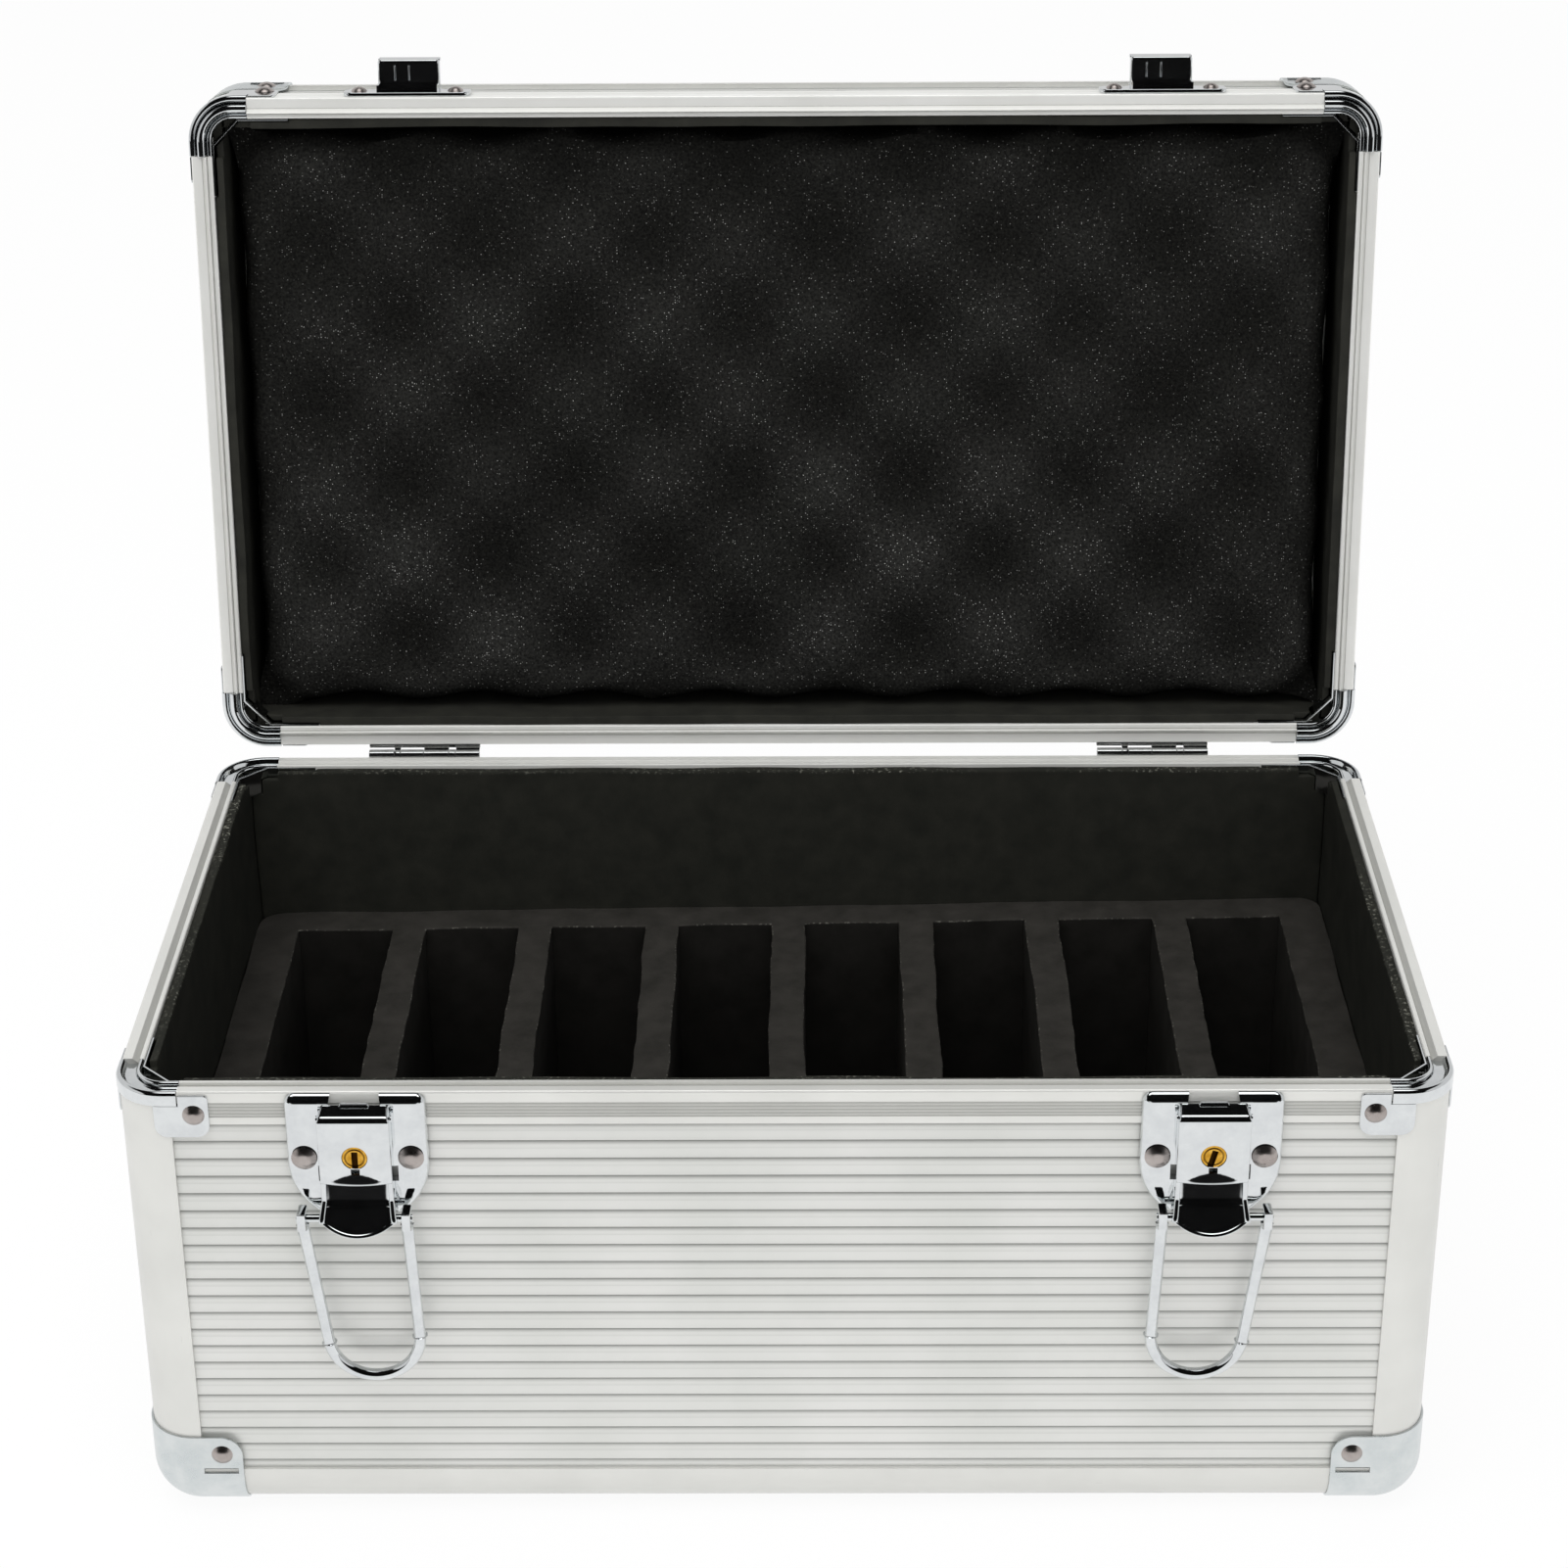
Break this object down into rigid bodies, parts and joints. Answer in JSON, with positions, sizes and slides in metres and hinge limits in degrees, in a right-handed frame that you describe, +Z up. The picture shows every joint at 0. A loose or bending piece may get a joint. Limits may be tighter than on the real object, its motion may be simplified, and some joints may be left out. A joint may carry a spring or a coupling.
{
  "type": "carrying case",
  "caption": "Hard-sided carrying case with metal edges and corners, an open hinged lid, key-lock draw latches, a folding handle and a slotted foam insert.",
  "frame": {"origin": "centre of the body's footprint, on the ground plane that the undersides of the ball corners stand on", "axes": "+X to the right along the case's width, seen from the front; +Y from the latches to the hinges; +Z up"},
  "size_m": [0.354, 0.2854, 0.3449],
  "materials": {
    "ribbed_board": "satin",
    "anodised_profile": "satin",
    "chromed_corner": "polished",
    "rivet_nickel": "satin",
    "eva_lining": "matte",
    "insert_foam": "matte",
    "lid_foam": "matte",
    "lock_brass": "polished",
    "hinge_steel": "satin",
    "latch_chrome": "polished",
    "handle_plastic": "satin",
    "bracket_steel": "polished"
  },
  "bodies": {
    "case": {"floor_panel": "ribbed_board", "front_panel": "ribbed_board", "back_panel": "ribbed_board", "left_panel": "ribbed_board", "right_panel": "ribbed_board", "front_left_post": "anodised_profile", "front_right_post": "anodised_profile", "back_left_post": "anodised_profile", "back_right_post": "anodised_profile", "front_base_rail": "anodised_profile", "back_base_rail": "anodised_profile", "left_base_rail": "anodised_profile", "right_base_rail": "anodised_profile", "front_rim_rail": "anodised_profile", "back_rim_rail": "anodised_profile", "left_rim_rail": "anodised_profile", "right_rim_rail": "anodised_profile", "front_left_rim_corner": "chromed_corner", "front_right_rim_corner": "chromed_corner", "back_left_rim_corner": "chromed_corner", "back_right_rim_corner": "chromed_corner", "front_left_ball_corner": "chromed_corner", "front_right_ball_corner": "chromed_corner", "back_left_ball_corner": "chromed_corner", "back_right_ball_corner": "chromed_corner", "body_rivets": "rivet_nickel", "body_lining": "eva_lining", "foam_base": "insert_foam", "foam_insert": "insert_foam", "left_hinge_body_leaf": "hinge_steel", "right_hinge_body_leaf": "hinge_steel", "hinge_pins": "hinge_steel", "left_latch_plate": "latch_chrome", "right_latch_plate": "latch_chrome", "latch_pivot_pins": "latch_chrome"},
    "lid": {"lid_panel": "ribbed_board", "lid_walls": "ribbed_board", "lid_posts": "anodised_profile", "lid_edge_rails": "anodised_profile", "lid_rim_rails": "anodised_profile", "lid_rim_corners": "chromed_corner", "lid_ball_corners": "chromed_corner", "lid_rivets": "rivet_nickel", "lid_lining": "eva_lining", "lid_foam": "lid_foam", "left_catch": "latch_chrome", "right_catch": "latch_chrome", "left_hinge_lid_leaf": "hinge_steel", "right_hinge_lid_leaf": "hinge_steel", "handle_brackets": "bracket_steel"},
    "left_lever": {"left_latch_lever": "latch_chrome", "left_bail_pin": "latch_chrome"},
    "left_bail_loop": {"left_bail": "latch_chrome"},
    "left_core": {"left_lock_core": "lock_brass"},
    "right_lever": {"right_latch_lever": "latch_chrome", "right_bail_pin": "latch_chrome"},
    "right_bail_loop": {"right_bail": "latch_chrome"},
    "right_core": {"right_lock_core": "lock_brass"},
    "handle": {"handle": "handle_plastic"}
  },
  "joints": [
    {"name": "lid_hinge", "type": "hinge", "parent": "case", "child": "lid", "pos_m": [0, 0.1031, 0.1354], "axis": [1, 0, 0], "range_deg": [0, 97.1]},
    {"name": "left_lever_pivot", "type": "hinge", "parent": "case", "child": "left_lever", "pos_m": [-0.1115, -0.1046, 0.131], "axis": [-1, 0, 0], "range_deg": [0, 60]},
    {"name": "left_bail_swing", "type": "hinge", "parent": "left_lever", "child": "left_bail_loop", "pos_m": [-0.1115, -0.1062, 0.1016], "axis": [1, 0, 0], "range_deg": [-180, 0]},
    {"name": "left_key_turn", "type": "hinge", "parent": "left_lever", "child": "left_core", "pos_m": [-0.1115, -0.107, 0.1209], "axis": [0, -1, 0], "range_deg": [0, 90]},
    {"name": "right_lever_pivot", "type": "hinge", "parent": "case", "child": "right_lever", "pos_m": [0.1115, -0.1046, 0.131], "axis": [-1, 0, 0], "range_deg": [0, 60]},
    {"name": "right_bail_swing", "type": "hinge", "parent": "right_lever", "child": "right_bail_loop", "pos_m": [0.1115, -0.1062, 0.1016], "axis": [1, 0, 0], "range_deg": [-180, 0]},
    {"name": "right_key_turn", "type": "hinge", "parent": "right_lever", "child": "right_core", "pos_m": [0.1115, -0.107, 0.1209], "axis": [0, -1, 0], "range_deg": [-75, 15]},
    {"name": "handle_swing", "type": "hinge", "parent": "lid", "child": "handle", "pos_m": [0, 0.16536, 0.23154], "axis": [1, 0, 0], "range_deg": [-7, 85]}
  ]
}
